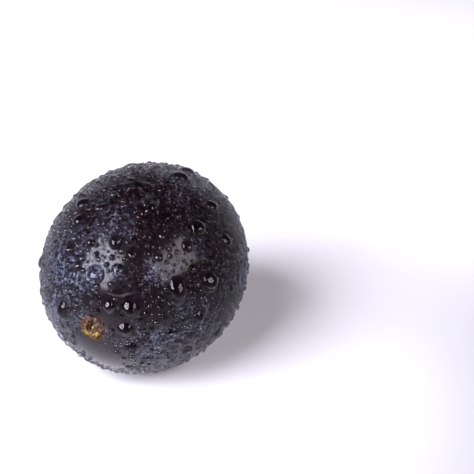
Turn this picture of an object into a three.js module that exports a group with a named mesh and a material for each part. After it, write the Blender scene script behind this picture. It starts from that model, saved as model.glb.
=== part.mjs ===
// One dark blue table grape, picked off its stalk and lying on its side, wet with beads of water.
// Units are millimetres, +Z is up and the grape rests at the origin. Its long axis runs along Y:
// the torn scar where the stalk came off faces -Y, and the tip, where the flower was, faces +Y.
// The berry grew as one piece, so skin, scar, tip and the beads that cling to it are one solid:
// the skin is a formula of direction, and scar, tip and beads are raised from it by formulas of their own.
import * as THREE from "three";
import { ConvexGeometry } from "three/addons/geometries/ConvexGeometry.js";

// Driving dimensions of the berry.
const LENGTH = 28;
const WIDTH = 24;
const SPOT_DEPTH = 0.26; // how far the soft skin gives way where the berry rests
const SPOT_EDGE = 0.1; // skin this close to the surface is pressed flat on to it
const STALK_END_FULLER = 0.015; // the stalk end is broader than the tip by this share
const SHOULDER = { depth: 0.28, reach: 2.1 }; // dimple round the stalk scar
const TIP_STUB = { height: 0.16, reach: 0.45 }; // dry stub of the flower's style
const LUMPS = [
  { turns: 2, slope: 0, phase: 0.6, share: 0.004 },
  { turns: 3, slope: 2, phase: 2.1, share: 0.003 },
  { turns: 1, slope: 3, phase: 4.0, share: 0.003 },
];

// The torn scar: height over the skin at each distance from the long axis, from the pit to the collar's foot.
const SCAR_PROFILE = [
  [0, -0.55],
  [0.3, -0.5],
  [0.46, 0.1],
  [0.76, 0.28],
  [1.1, 0.2],
  [1.42, 0],
];
const SCAR_TEARS = { lobes: 7, ragged: 0.13 };
const FIBRE = { radius: 0.17, offset: 0.13, top: 0.1 }; // stub of the strand that fed the berry

// Water beads: height as a share of width, how far a steep one slumps, and the sizes of the scattered ones.
const BEAD = { rise: 0.36, slump: 0.3, smallest: 0.7, largest: 2.1, spacing: 0.3, total: 132 };
const CLEAR_OF_FLOOR = 0.5; // height that a bead's lowest edge keeps above the surface
const CLEAR_OF_SCAR = 2.3;
const LONE_BEAD_SPACE = 2.4; // large scattered beads keep this much skin between them and the listed ones
const DRAW_SEED = 20117;

// The large beads on the side that is seen best. Degrees round the long axis from the top towards +X, degrees from
// the waist towards the stalk end, and the bead's width and its length downhill.
const LARGE_BEADS = [
  { round: -28, along: 20, width: 1.9, run: 1.8 },
  { round: -26, along: 31, width: 1.7, run: 1.7 },
  { round: -14, along: 25, width: 1.1, run: 1.1 },
  { round: -16, along: 36, width: 1.0, run: 1.0 },
  { round: -12, along: 44, width: 1.3, run: 1.3 },
  { round: -32, along: 46, width: 1.1, run: 1.1 },
  { round: -22, along: 56, width: 1.1, run: 1.1 },
  { round: -43, along: 37, width: 0.8, run: 0.8 },
  { round: 7, along: 41, width: 1.6, run: 2.2 },
  { round: 8, along: 30, width: 1.0, run: 1.0 },
  { round: 22, along: 44, width: 1.2, run: 1.3 },
  { round: -4, along: 50, width: 0.8, run: 0.8 },
  { round: 17, along: 16, width: 1.0, run: 0.9 },
  { round: 28, along: 1, width: 1.0, run: 0.9 },
  { round: 41, along: -9, width: 1.8, run: 1.6 },
  { round: 43, along: 10, width: 2.0, run: 2.0 },
  { round: 46, along: 22, width: 1.5, run: 1.5 },
  { round: 24, along: 32, width: 1.3, run: 1.2 },
  { round: 38, along: 37, width: 1.0, run: 1.0 },
  { round: -1, along: 60, width: 2.3, run: 2.2 },
  { round: 19, along: 54, width: 1.5, run: 1.6 },
  { round: -76, along: 70, width: 1.6, run: 2.2 },
  { round: 33, along: 72, width: 1.2, run: 1.4 },
  { round: 55, along: 64, width: 1.9, run: 2.1 },
  { round: 82, along: 71, width: 1.9, run: 1.5 },
  { round: 118, along: 66, width: 1.7, run: 1.6 },
  { round: 128, along: 54, width: 1.4, run: 1.1 },
  { round: 63, along: 39, width: 2.1, run: 3.1 },
  { round: 71, along: 21, width: 2.1, run: 2.2 },
  { round: 58, along: 27, width: 1.0, run: 1.0 },
  { round: 89, along: 32, width: 1.4, run: 1.6 },
  { round: 96, along: 47, width: 1.5, run: 1.6 },
  { round: 119, along: 33, width: 1.4, run: 1.4 },
  { round: 103, along: 36, width: 0.9, run: 1.1 },
  { round: 85, along: 8, width: 1.0, run: 1.2 },
];

// How finely each form is faceted: rings from the middle out, each at a share of the bead's radius or at a distance
// in millimetres, and with a number of points. A bead's last two rings match, so that no facet leaps over its foot.
const BIG_BEAD_RINGS = [[0, 1], [0.45, 6], [0.82, 12], [1, 12]];
const MIDDLE_BEAD_RINGS = [[0, 1], [0.68, 9], [1, 9]];
const SMALL_BEAD_RINGS = [[0, 1], [0.7, 7], [1, 7]];
const BIG_BEAD = 1.55;
const MIDDLE_BEAD = 1.05;
const SKIN_POINTS = 1150;
const BEAD_MARGIN = 1.4; // in bead radii: no plain skin point is closer to a bead than this
const SCAR_RINGS = [[0, 1], [0.3, 12], [0.46, 14], [0.76, 21], [1.1, 28], [1.42, 28]];
const TIP_RINGS = [[0, 1], [0.3, 7], [0.6, 9], [1.0, 11]];
const SPOT_POINTS = 18;

const CENTRE = new THREE.Vector3(0, 0, WIDTH / 2 - SPOT_DEPTH);
const radians = THREE.MathUtils.degToRad;

// A point of the bare skin, from two angles in radians: round the long axis, and along from the waist to the stalk end.
function skinPoint(round, along) {
  const end = Math.sin(along);
  let radius = (WIDTH / 2) * Math.cos(along) * (1 + STALK_END_FULLER * end);
  for (const lump of LUMPS) {
    const wave = Math.sin(lump.turns * round + lump.slope * along + lump.phase);
    radius *= 1 + lump.share * wave * Math.cos(along);
  }
  let y = (-LENGTH / 2) * end;
  if (end > 0) y += SHOULDER.depth * Math.exp(-((radius / SHOULDER.reach) ** 2));
  else y += TIP_STUB.height * (Math.exp(-((radius / TIP_STUB.reach) ** 2)) + end);
  return new THREE.Vector3(radius * Math.sin(round), y, radius * Math.cos(round)).add(CENTRE);
}

// The skin's outward normal there, from two short steps over the surface.
function skinNormal(round, along) {
  const step = 1e-3;
  const here = skinPoint(round, along);
  const sideways = skinPoint(round + step, along).sub(here);
  const lengthways = skinPoint(round, along + step).sub(here);
  return sideways.cross(lengthways).normalize();
}

// The two angles under which a point near the skin is seen, and the unit direction that stands for them.
function anglesOf(point) {
  const along = Math.asin(THREE.MathUtils.clamp(-point.y / (LENGTH / 2), -1, 1));
  return { round: Math.atan2(point.x, point.z - CENTRE.z), along };
}

function directionOf({ round, along }) {
  const side = Math.cos(along);
  return new THREE.Vector3(side * Math.sin(round), -Math.sin(along), side * Math.cos(round));
}

// Even draws from 0 to 1 that come out the same every time.
function seededDraws(seed) {
  let state = seed;
  return () => {
    state = (state * 48271) % 2147483647;
    return state / 2147483647;
  };
}

// The listed beads and, spread over the rest of the berry, the ones that the seed draws: most of them small.
function allBeads() {
  const draw = seededDraws(DRAW_SEED);
  const beads = LARGE_BEADS.map((one) => placedBead({ ...one, listed: true }));
  const scar = skinPoint(0, Math.PI / 2);
  while (beads.length < BEAD.total) {
    const round = 360 * draw() - 180;
    const along = THREE.MathUtils.radToDeg(Math.asin(2 * draw() - 1));
    const width = BEAD.smallest + (BEAD.largest - BEAD.smallest) * draw() ** 3;
    const one = placedBead({ round, along, width, run: width, listed: false });
    const crowded = beads.some((other) => {
      const gap = one.place.distanceTo(other.place) - (width + Math.max(other.width, other.run)) / 2;
      return gap < (other.listed && width > 1 ? LONE_BEAD_SPACE : BEAD.spacing);
    });
    const low = one.place.z - width / 2 < CLEAR_OF_FLOOR;
    if (!crowded && !low && one.place.distanceTo(scar) > CLEAR_OF_SCAR) beads.push(one);
  }
  return beads;
}

// A bead with its own axes: out of the skin, downhill over it, and across the slope.
function placedBead(one) {
  const place = skinPoint(radians(one.round), radians(one.along));
  const normal = skinNormal(radians(one.round), radians(one.along));
  const downhill = new THREE.Vector3(0, 0, -1).addScaledVector(normal, normal.z);
  const steepness = downhill.length();
  if (steepness < 1e-3) downhill.set(1, 0, 0);
  downhill.normalize();
  const across = new THREE.Vector3().crossVectors(normal, downhill);
  return { ...one, place, normal, downhill, across, steepness };
}

// Where a skin point stands in a bead's outline: 0 at its middle, 1 on its edge.
function shareOfBead(one, point) {
  const offset = point.clone().sub(one.place);
  const sideways = offset.dot(one.across) / (one.width / 2);
  const downwards = offset.dot(one.downhill) / (one.run / 2);
  const depth = Math.abs(offset.dot(one.normal));
  return depth < one.width ? Math.hypot(sideways, downwards) : Infinity;
}

// Height of a bead's dome, a cap cut from a ball, at a share of the way to its edge.
function domeHeight(one, share) {
  const foot = Math.sqrt(one.width * one.run) / 2;
  const top = 2 * BEAD.rise * foot;
  const ball = (foot * foot + top * top) / (2 * top);
  return Math.sqrt(ball * ball - (share * foot) ** 2) - (ball - top);
}

// How much wider or narrower the torn collar is than its profile, at an angle round the long axis.
function tearAt(round) {
  const { lobes, ragged } = SCAR_TEARS;
  return 1 + ragged * Math.sin(lobes * round) + 0.5 * ragged * Math.sin(3 * round + 1);
}

// Height of the scar over the skin, at a distance from the long axis and an angle round it.
function scarHeight(distance, round) {
  const at = distance / tearAt(round);
  const sideways = distance * Math.sin(round) - FIBRE.offset;
  if (Math.hypot(sideways, distance * Math.cos(round)) < FIBRE.radius) return FIBRE.top;
  const next = SCAR_PROFILE.findIndex(([reach]) => reach > at);
  if (next < 0) return 0;
  const [[nearReach, nearHeight], [farReach, farHeight]] = [SCAR_PROFILE[next - 1], SCAR_PROFILE[next]];
  return THREE.MathUtils.mapLinear(at, nearReach, farReach, nearHeight, farHeight);
}

const beads = allBeads();

// The finished surface under a unit direction: skin, with the scar and the beads raised from it.
function surfacePoint(direction) {
  const along = Math.asin(THREE.MathUtils.clamp(-direction.y, -1, 1));
  const round = Math.atan2(direction.x, direction.z);
  const skin = skinPoint(round, along);
  if (along > 0) skin.y -= scarHeight(Math.hypot(skin.x, skin.z - CENTRE.z), round);
  for (const one of beads) {
    const share = shareOfBead(one, skin);
    if (share >= 1) continue;
    const height = domeHeight(one, share);
    skin.addScaledVector(one.normal, height);
    skin.addScaledVector(one.downhill, height * BEAD.slump * one.steepness);
    break;
  }
  if (skin.z < SPOT_EDGE) skin.z = 0;
  return skin;
}

// The directions at which a bead's dome is faceted.
function beadDirections(one) {
  const rings = one.width >= BIG_BEAD ? BIG_BEAD_RINGS : one.width >= MIDDLE_BEAD ? MIDDLE_BEAD_RINGS : SMALL_BEAD_RINGS;
  return rings.flatMap(([share, count]) =>
    Array.from({ length: count }, (_, i) => {
      const turn = (2 * Math.PI * i) / count;
      const point = one.place.clone();
      point.addScaledVector(one.across, (share * one.width * Math.cos(turn)) / 2);
      point.addScaledVector(one.downhill, (share * one.run * Math.sin(turn)) / 2);
      return directionOf(anglesOf(point));
    }),
  );
}

// Rings of directions round one end of the long axis, at distances from it in millimetres.
function endDirections(rings, side, widen) {
  return rings.flatMap(([distance, count], ring) =>
    Array.from({ length: count }, (_, i) => {
      const round = (2 * Math.PI * (i + (ring % 2) / 2)) / count;
      const along = side * Math.acos((distance * widen(round)) / (WIDTH / 2));
      return directionOf({ round, along });
    }),
  );
}

// The stub of fibre in the pit, as its middle and a small ring on its top.
function fibreDirections() {
  const ring = [0, 1, 2, 3, 4, 5].map((i) => (i * Math.PI) / 3);
  const offsets = [[0, 0], ...ring.map((turn) => [0.9 * Math.cos(turn), 0.9 * Math.sin(turn)])];
  return offsets.map(([sideways, upwards]) => {
    const x = (FIBRE.offset + sideways * FIBRE.radius) / (WIDTH / 2);
    const z = (upwards * FIBRE.radius) / (WIDTH / 2);
    return new THREE.Vector3(x, -Math.sqrt(1 - x * x - z * z), z);
  });
}

// The edge of the flat spot, a ring of directions under the berry.
function spotDirections() {
  const reach = Math.sqrt(1 - (1 - (SPOT_DEPTH + SPOT_EDGE / 2) / (WIDTH / 2)) ** 2);
  return Array.from({ length: SPOT_POINTS }, (_, i) => {
    const turn = (2 * Math.PI * i) / SPOT_POINTS;
    return new THREE.Vector3(reach * Math.cos(turn), reach * Math.sin(turn), -Math.sqrt(1 - reach * reach));
  });
}

// Plain skin, evenly spread by the golden angle, wherever no bead or end has points of its own.
function plainDirections() {
  const golden = Math.PI * (3 - Math.sqrt(5));
  const scarEdge = SCAR_PROFILE.at(-1)[0] * (1 + 2 * SCAR_TEARS.ragged);
  const tipEdge = TIP_RINGS.at(-1)[0];
  return Array.from({ length: SKIN_POINTS }, (_, i) => {
    const y = 1 - (2 * i + 1) / SKIN_POINTS;
    const side = Math.sqrt(1 - y * y);
    return new THREE.Vector3(side * Math.cos(golden * i), y, side * Math.sin(golden * i));
  }).filter((direction) => {
    const along = Math.asin(-direction.y);
    const skin = skinPoint(Math.atan2(direction.x, direction.z), along);
    const fromAxis = Math.hypot(skin.x, skin.z - CENTRE.z);
    const onAnEnd = fromAxis < (along > 0 ? scarEdge : tipEdge) + 0.25;
    return !onAnEnd && beads.every((one) => shareOfBead(one, skin) > BEAD_MARGIN);
  });
}

// One closed skin: the directions are joined up as the hull of a unit ball, and then moved on to the surface.
function berryGeometry() {
  const directions = [
    ...plainDirections(),
    ...spotDirections(),
    ...endDirections(SCAR_RINGS, 1, tearAt),
    ...endDirections(TIP_RINGS, -1, () => 1),
    ...fibreDirections(),
    ...beads.flatMap(beadDirections),
  ];
  const geometry = new ConvexGeometry(directions);
  const position = geometry.getAttribute("position");
  for (let i = 0; i < position.count; i++) {
    const moved = surfacePoint(new THREE.Vector3().fromBufferAttribute(position, i));
    position.setXYZ(i, moved.x, moved.y, moved.z);
  }
  geometry.computeVertexNormals();
  return geometry;
}

const skinMaterial = new THREE.MeshStandardMaterial({ color: 0x2b2c3d, roughness: 0.38, metalness: 0 });
const berry = new THREE.Mesh(berryGeometry(), skinMaterial);
berry.name = "berry";

const grape = new THREE.Group();
grape.add(berry);
export default grape;
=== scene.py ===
# %% [markdown]
# # A wet dark grape
# This notebook dresses one dark blue table grape that lies on a pale table, wet with beads of
# water. The solid berry is already there and fixed: the script loads it, keeps its size and
# place, and puts a finer skin, real water and a torn stalk scar in its stead. Lengths are written
# in millimetres and multiplied by MM, because Blender works in metres.

# %% Load the fixed berry
import math

import bpy
import numpy as np
from mathutils import Matrix, Vector, kdtree, noise


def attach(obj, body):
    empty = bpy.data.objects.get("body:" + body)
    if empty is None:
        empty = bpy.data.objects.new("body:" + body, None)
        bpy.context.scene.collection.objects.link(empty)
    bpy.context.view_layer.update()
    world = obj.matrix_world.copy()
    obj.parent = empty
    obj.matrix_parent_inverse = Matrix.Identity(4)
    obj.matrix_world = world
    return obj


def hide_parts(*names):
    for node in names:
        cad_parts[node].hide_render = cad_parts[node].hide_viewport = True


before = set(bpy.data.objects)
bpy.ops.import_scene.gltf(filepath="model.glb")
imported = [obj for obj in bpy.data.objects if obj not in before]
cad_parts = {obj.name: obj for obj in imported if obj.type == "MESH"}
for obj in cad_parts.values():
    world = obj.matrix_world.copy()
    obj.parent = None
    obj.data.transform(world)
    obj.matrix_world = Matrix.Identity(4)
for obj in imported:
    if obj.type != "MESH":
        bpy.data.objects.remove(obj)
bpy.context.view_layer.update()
MM = 0.001
SCENE = bpy.context.scene

# %% [markdown]
# ## The berry's form
# A berry is close to an ellipsoid, a little fuller at the stalk end, with a dimple round the
# scar, a tiny stub at the tip and slow waves that keep it from looking turned on a lathe. A
# formula gives the same form as the solid, so the fine skin lies where the solid says. Angles are
# measured round the long axis, from the top, and along it, from the waist to the stalk end.

# %% Skin points and normals
LENGTH, WIDTH = 28, 24
SPOT_DEPTH = 0.26
STALK_END_FULLER = 0.015
SHOULDER_DEPTH, SHOULDER_REACH = 0.28, 2.1
TIP_HEIGHT, TIP_REACH = 0.16, 0.45
LUMPS = [(2, 0, 0.6, 0.004), (3, 2, 2.1, 0.003), (1, 3, 4.0, 0.003)]  # turns, slope, phase, share
CENTRE = np.array([0, 0, WIDTH / 2 - SPOT_DEPTH])


def skin_points(round_, along):
    """Points of the bare skin in millimetres, for arrays of two angles in radians."""
    end = np.sin(along)
    radius = WIDTH / 2 * np.cos(along) * (1 + STALK_END_FULLER * end)
    for turns, slope, phase, share in LUMPS:
        radius = radius * (1 + share * np.sin(turns * round_ + slope * along + phase) * np.cos(along))
    dimple = SHOULDER_DEPTH * np.exp(-((radius / SHOULDER_REACH) ** 2))
    stub = TIP_HEIGHT * (np.exp(-((radius / TIP_REACH) ** 2)) + end)
    y = -LENGTH / 2 * end + np.where(end > 0, dimple, stub)
    return np.stack([radius * np.sin(round_), y, radius * np.cos(round_)], axis=-1) + CENTRE


def skin_normals(round_, along):
    """Outward normals there, from two short steps over the surface, in radians."""
    step = 1e-4
    here = skin_points(round_, along)
    sideways = skin_points(round_ + step, along) - here
    lengthways = skin_points(round_, along + step) - here
    normal = np.cross(lengthways, sideways)
    return normal / np.linalg.norm(normal, axis=-1, keepdims=True)


def skin_angles(points_mm):
    """The two angles of the skin point that lies under each point."""
    along = np.arcsin(np.clip(-points_mm[:, 1] / (LENGTH / 2), -1, 1))
    return np.arctan2(points_mm[:, 0], points_mm[:, 2] - CENTRE[2]), along


def skin_place(degrees_round, degrees_along):
    """One point of the skin, from two angles in degrees."""
    return skin_points(np.radians(degrees_round), np.radians(degrees_along))


SCAR_PLACE = skin_points(np.array(0.0), np.array(math.pi / 2))
TIP_PLACE = skin_points(np.array(0.0), np.array(-math.pi / 2))
print("stalk scar at", np.round(SCAR_PLACE, 2), "mm")

# %% [markdown]
# ## Where the beads of water sit
# Water that falls on a waxy skin pulls itself into beads. The list gives the large ones that show
# best, and the same seeded draw as the solid's spreads the others, so every bead here covers its
# solid one. Each has its own axes: out of the skin, downhill over it, and across the slope.

# %% The list of large beads
LARGE_BEADS = [  # degrees round, degrees along, width and downhill length in mm
    (-28, 20, 1.9, 1.8), (-26, 31, 1.7, 1.7), (-14, 25, 1.1, 1.1), (-16, 36, 1.0, 1.0),
    (-12, 44, 1.3, 1.3), (-32, 46, 1.1, 1.1), (-22, 56, 1.1, 1.1), (-43, 37, 0.8, 0.8),
    (7, 41, 1.6, 2.2), (8, 30, 1.0, 1.0), (22, 44, 1.2, 1.3), (-4, 50, 0.8, 0.8),
    (17, 16, 1.0, 0.9), (28, 1, 1.0, 0.9), (41, -9, 1.8, 1.6), (43, 10, 2.0, 2.0),
    (46, 22, 1.5, 1.5), (24, 32, 1.3, 1.2), (38, 37, 1.0, 1.0), (-1, 60, 2.3, 2.2),
    (19, 54, 1.5, 1.6), (-76, 70, 1.6, 2.2), (33, 72, 1.2, 1.4), (55, 64, 1.9, 2.1),
    (82, 71, 1.9, 1.5), (118, 66, 1.7, 1.6), (128, 54, 1.4, 1.1), (63, 39, 2.1, 3.1),
    (71, 21, 2.1, 2.2), (58, 27, 1.0, 1.0), (89, 32, 1.4, 1.6), (96, 47, 1.5, 1.6),
    (119, 33, 1.4, 1.4), (103, 36, 0.9, 1.1), (85, 8, 1.0, 1.2),
]
BEAD_RISE, LARGE_BEAD_RISE = 0.23, 0.33  # height as a share of width
BEAD_FAT_END = 0.5  # how much higher a bead on a steep place stands at its lower end
SMALLEST_BEAD, LARGEST_BEAD, BEAD_TOTAL = 0.7, 2.1, 132
BEAD_SPACING, LONE_BEAD_SPACE = 0.3, 2.4
CLEAR_OF_FLOOR, CLEAR_OF_SCAR = 0.5, 2.3
BEAD_SEED = 20117


def seeded_draws(seed):
    """Even draws from 0 to 1 that come out the same every time."""
    while True:
        seed = seed * 48271 % 2147483647
        yield seed / 2147483647


def placed_bead(degrees_round, degrees_along, width, run, listed):
    """A bead's size, place and axes."""
    angles = np.radians(degrees_round), np.radians(degrees_along)
    place, normal = skin_points(*angles), skin_normals(*angles)
    downhill = np.array([0, 0, -1]) + normal * normal[2]
    steepness = np.linalg.norm(downhill)
    downhill = downhill / steepness if steepness > 1e-3 else np.array([1.0, 0, 0])
    return {
        "place": place, "normal": normal, "downhill": downhill, "across": np.cross(downhill, normal),
        "width": width, "run": run, "steepness": steepness, "listed": listed,
        "rise": LARGE_BEAD_RISE if listed else BEAD_RISE,
    }


def bead_fits(one, beads):
    """True where a drawn bead has room, keeps off the table and stays clear of the scar."""
    for other in beads:
        apart = np.linalg.norm(one["place"] - other["place"])
        gap = apart - (one["width"] + max(other["width"], other["run"])) / 2
        if gap < (LONE_BEAD_SPACE if other["listed"] and one["width"] > 1 else BEAD_SPACING):
            return False
    low = one["place"][2] - one["width"] / 2 < CLEAR_OF_FLOOR
    return not low and np.linalg.norm(one["place"] - SCAR_PLACE) > CLEAR_OF_SCAR


draw = seeded_draws(BEAD_SEED)
beads = [placed_bead(*row, True) for row in LARGE_BEADS]
while len(beads) < BEAD_TOTAL:
    around = 360 * next(draw) - 180
    lengthwise = math.degrees(math.asin(2 * next(draw) - 1))
    width = SMALLEST_BEAD + (LARGEST_BEAD - SMALLEST_BEAD) * next(draw) ** 3
    drawn = placed_bead(around, lengthwise, width, width, False)
    if bead_fits(drawn, beads):
        beads.append(drawn)
print(len(beads), "large beads placed")

# %% Where a bead covers and wets the skin
def bead_share(points_mm, one):
    """Distance from a bead's middle as a share of the way to its edge, and beyond."""
    offset = points_mm - one["place"]
    sideways = offset @ one["across"] / (one["width"] / 2)
    downwards = offset @ one["downhill"] / (one["run"] / 2)
    return np.hypot(sideways, downwards)


def wet_amount(points_mm, reach):
    """1 under a bead and at its edge, down to 0 at the given reach from it."""
    wet = np.zeros(len(points_mm))
    for one in beads:
        close = one["run"] / 2 + one["width"] / 2 + reach + 1
        near = np.linalg.norm(points_mm - one["place"], axis=1) < close
        past_edge = (bead_share(points_mm[near], one) - 1) * one["width"] / 2
        wet[near] = np.maximum(wet[near], np.clip(1 - past_edge / reach, 0, 1))
    return wet


# %% [markdown]
# ## Fine beads between the large ones
# Between the large beads the skin is covered in fine ones, down to a mist. They keep off the wet
# ring round each large bead, because a bead drinks up its neighbours as it grows, and off the
# smooth places that running water left. Thousands of places are drawn from a fixed seed, and each
# is kept only where nothing is in its way.

# %% Scatter the fine beads and the mist
SMOOTH_PLACES = [  # degrees round and along, reach in mm: where water ran and left no mist
    (-164, 73, 2.6), (170, 64, 3.0), (52, 76, 1.6), (17, 67, 0.9), (31, 63, 0.9), (45, 58, 0.9),
]
CROWDED_PLACES = [  # the same three numbers: where middling beads stand close together
    (-43, 56, 4.6), (-45, 36, 4.0), (-28, 14, 3.5), (2, 8, 3.2), (75, 4, 4.5), (105, 36, 4.2),
]
MIST_CLEAR_OF_FLOOR, MIST_CLEAR_OF_SCAR, MIST_CLEAR_OF_TIP = 0.15, 1.75, 0.75
DRUNK_UP = 0.32  # a large bead drinks up the small ones this close to it
TRIES, TRIES_IN_CROWDS = 7, 60  # places drawn for each small bead
CELL = 1.0  # small beads are looked up by the millimetre cube that they are in
NEIGHBOURS = [(x, y, z) for x in (-1, 0, 1) for y in (-1, 0, 1) for z in (-1, 0, 1)]


def scatter(count, smallest, largest, power, seed, taken, spacing, only_at=()):
    """Sites for small beads that keep clear of one another and of what is already there."""
    draw = np.random.default_rng(seed)
    tries = count * (TRIES_IN_CROWDS if only_at else TRIES)
    round_ = draw.uniform(-math.pi, math.pi, tries)
    along = np.arcsin(draw.uniform(-1, 1, tries))
    widths = smallest + (largest - smallest) * draw.random(tries) ** power
    places, normals = skin_points(round_, along), skin_normals(round_, along)

    def away_from(middle):
        return np.linalg.norm(places - middle, axis=1)

    keep = places[:, 2] - widths / 2 > MIST_CLEAR_OF_FLOOR
    keep &= away_from(SCAR_PLACE) > MIST_CLEAR_OF_SCAR + widths
    keep &= away_from(TIP_PLACE) > MIST_CLEAR_OF_TIP + widths / 2
    keep &= wet_amount(places, DRUNK_UP) < 0.05 + 0.25 * draw.random(tries)
    for *angles, reach in SMOOTH_PLACES:
        keep &= away_from(skin_place(*angles)) > reach * (0.62 + 0.55 * draw.random(tries))
    if only_at:
        keep &= np.any([away_from(skin_place(*angles)) < reach for *angles, reach in only_at], axis=0)
    sites = []
    for i in np.flatnonzero(keep):
        place, width = places[i], widths[i]
        home = tuple(int(value // CELL) for value in place)
        cells = [(home[0] + x, home[1] + y, home[2] + z) for x, y, z in NEIGHBOURS]
        near = [other for cell in cells for other in taken.get(cell, ())]
        if any(math.dist(place, other) < (width + wide) / 2 + spacing for other, wide in near):
            continue
        taken.setdefault(home, []).append((place, width))
        sites.append({"place": place, "normal": normals[i], "width": width})
        if len(sites) == count:
            break
    return sites


taken = {}
small_beads = scatter(130, 0.50, 0.88, 1.3, 13, taken, 0.40, CROWDED_PLACES)
print(len(small_beads), "middling beads in crowds")
small_beads += scatter(2100, 0.32, 0.84, 2.2, 11, taken, 0.05)
mist = scatter(5700, 0.16, 0.36, 1.4, 12, taken, 0.0)
print(len(small_beads), "fine beads and", len(mist), "specks of mist placed")

# %% [markdown]
# ## The camera
# A long lens looks a little down on the stalk end from its right, so the scar faces the viewer.

# %% Set the camera
CAMERA_AZIMUTH, CAMERA_ELEVATION = math.radians(22.69), math.radians(31.37)
CAMERA_DISTANCE, CAMERA_LENS = 158.57, 100
AIM_RIGHT, AIM_UP = 10.941, 3.517  # where the lens points, from the berry's middle

backward = np.array([
    math.sin(CAMERA_AZIMUTH) * math.cos(CAMERA_ELEVATION),
    -math.cos(CAMERA_AZIMUTH) * math.cos(CAMERA_ELEVATION),
    math.sin(CAMERA_ELEVATION),
])
rightward = np.array([math.cos(CAMERA_AZIMUTH), math.sin(CAMERA_AZIMUTH), 0])
upward = np.cross(backward, rightward)
aim = CENTRE + rightward * AIM_RIGHT + upward * AIM_UP
camera_data = bpy.data.cameras.new("studio_camera")
camera_data.lens = CAMERA_LENS
camera_data.clip_start, camera_data.clip_end = 0.01, 20  # metres
camera = bpy.data.objects.new("studio_camera", camera_data)
SCENE.collection.objects.link(camera)
camera.location = (aim + backward * CAMERA_DISTANCE) * MM
camera.rotation_euler = Vector(-backward).to_track_quat("-Z", "Y").to_euler()
SCENE.camera = camera
SCENE.view_settings.view_transform = "Standard"
print("camera stands", round(CAMERA_DISTANCE), "mm away")

# %% [markdown]
# ## Short words for shader nodes
# A finish is a tree of nodes, and each node takes several lines to add, set and link. These
# helpers give the common ones a word each, so that a finish further down reads as what it mixes
# and where.

# %% Helpers for shader nodes
def new_material(name):
    """An empty Principled material, with its nodes, links and shader."""
    material = bpy.data.materials.new(name)
    material.use_nodes = True
    tree = material.node_tree
    return material, tree.nodes, tree.links, tree.nodes["Principled BSDF"]


def object_millimetres(nodes, links):
    """Object coordinates, scaled so that one unit is a millimetre."""
    place = nodes.new("ShaderNodeTexCoord")
    scale = nodes.new("ShaderNodeMapping")
    scale.inputs["Scale"].default_value = (1 / MM, 1 / MM, 1 / MM)
    links.new(place.outputs["Object"], scale.inputs["Vector"])
    return scale.outputs["Vector"]


def noise_of(nodes, links, where, per_mm, detail=2.0, distortion=0.0, roughness=0.5):
    """A noise with so many features to the millimetre."""
    texture = nodes.new("ShaderNodeTexNoise")
    texture.inputs["Scale"].default_value = per_mm
    texture.inputs["Detail"].default_value = detail
    texture.inputs["Distortion"].default_value = distortion
    texture.inputs["Roughness"].default_value = roughness
    links.new(where, texture.inputs["Vector"])
    return texture.outputs["Fac"]


def remap(nodes, links, value, low, high, to_low=0.0, to_high=1.0):
    """Stretches a value's range from low and high to a new one, with a soft start and end."""
    node = nodes.new("ShaderNodeMapRange")
    node.interpolation_type = "SMOOTHSTEP"
    node.inputs["From Min"].default_value, node.inputs["From Max"].default_value = low, high
    node.inputs["To Min"].default_value, node.inputs["To Max"].default_value = to_low, to_high
    links.new(value, node.inputs["Value"])
    return node.outputs["Result"]


def calculate(nodes, links, operation, first, second):
    """One sum on two values, each a number or another node's output."""
    node = nodes.new("ShaderNodeMath")
    node.operation = operation
    for socket, value in zip(node.inputs, (first, second)):
        if isinstance(value, (int, float)):
            socket.default_value = value
        else:
            links.new(value, socket)
    return node.outputs[0]


def mix_colours(nodes, links, amount, first, second):
    """Blends two colours, each a triple or another node's output."""
    node = nodes.new("ShaderNodeMix")
    node.data_type = "RGBA"
    links.new(amount, node.inputs["Factor"])
    for socket, value in ((node.inputs["A"], first), (node.inputs["B"], second)):
        if isinstance(value, tuple):
            socket.default_value = (*value, 1)
        else:
            links.new(value, socket)
    return node.outputs["Result"]


def bump_of(nodes, links, height, strength, depth_mm):
    """A bump node that reads a height and stands so many millimetres high at most."""
    node = nodes.new("ShaderNodeBump")
    node.inputs["Strength"].default_value = strength
    node.inputs["Distance"].default_value = depth_mm * MM
    links.new(height, node.inputs["Height"])
    return node


def attribute_of(nodes, name):
    """The number that a mesh stores under a name."""
    node = nodes.new("ShaderNodeAttribute")
    node.attribute_name = name
    return node.outputs["Fac"]


# %% [markdown]
# ## Table and light
# Two soft boxes stand in front, one to each side. A dark glossy skin mirrors them as two pale
# windows, and along its rim and underside it mirrors the table at a shallow angle. So light and
# shade are painted on the table: a pale pool of painted light round the berry and behind it, and
# painted shade that makes it darker in front and to the sides, out of the camera's sight. The room
# is dark but for one bright backdrop behind the berry.

# %% Table and soft boxes
TABLE_RADIUS = 0.7  # metres, as are the other lengths in this cell
# The pale colour is the table's own; the darker tone is painted shade away from the berry
PALE, PAINTED_SHADE_TONE = (0.745, 0.742, 0.752), (0.20, 0.20, 0.205)
PAINTED_POOL_MIDDLE, PAINTED_POOL_EDGE = (-0.012, -0.008, 0), (0.02, 0.085)  # the painted pool of light round the berry, with painted shade past its edge
AWAY = (-0.386, 0.922, 0)  # the way the camera looks
PAINTED_LIGHT_BEHIND_START, PAINTED_LIGHT_BEHIND_END = (-0.005, 0.035), (0.12, 0.22)  # where painted light reaches behind the berry

bpy.ops.object.select_all(action="DESELECT")
bpy.ops.mesh.primitive_circle_add(vertices=96, radius=TABLE_RADIUS, fill_type="NGON")
table = bpy.context.active_object
table.name = "pale_table"
table_finish, nodes, links, shader = new_material("pale_table_finish")
shader.inputs["Roughness"].default_value = 0.8
place = nodes.new("ShaderNodeTexCoord").outputs["Object"]


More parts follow.
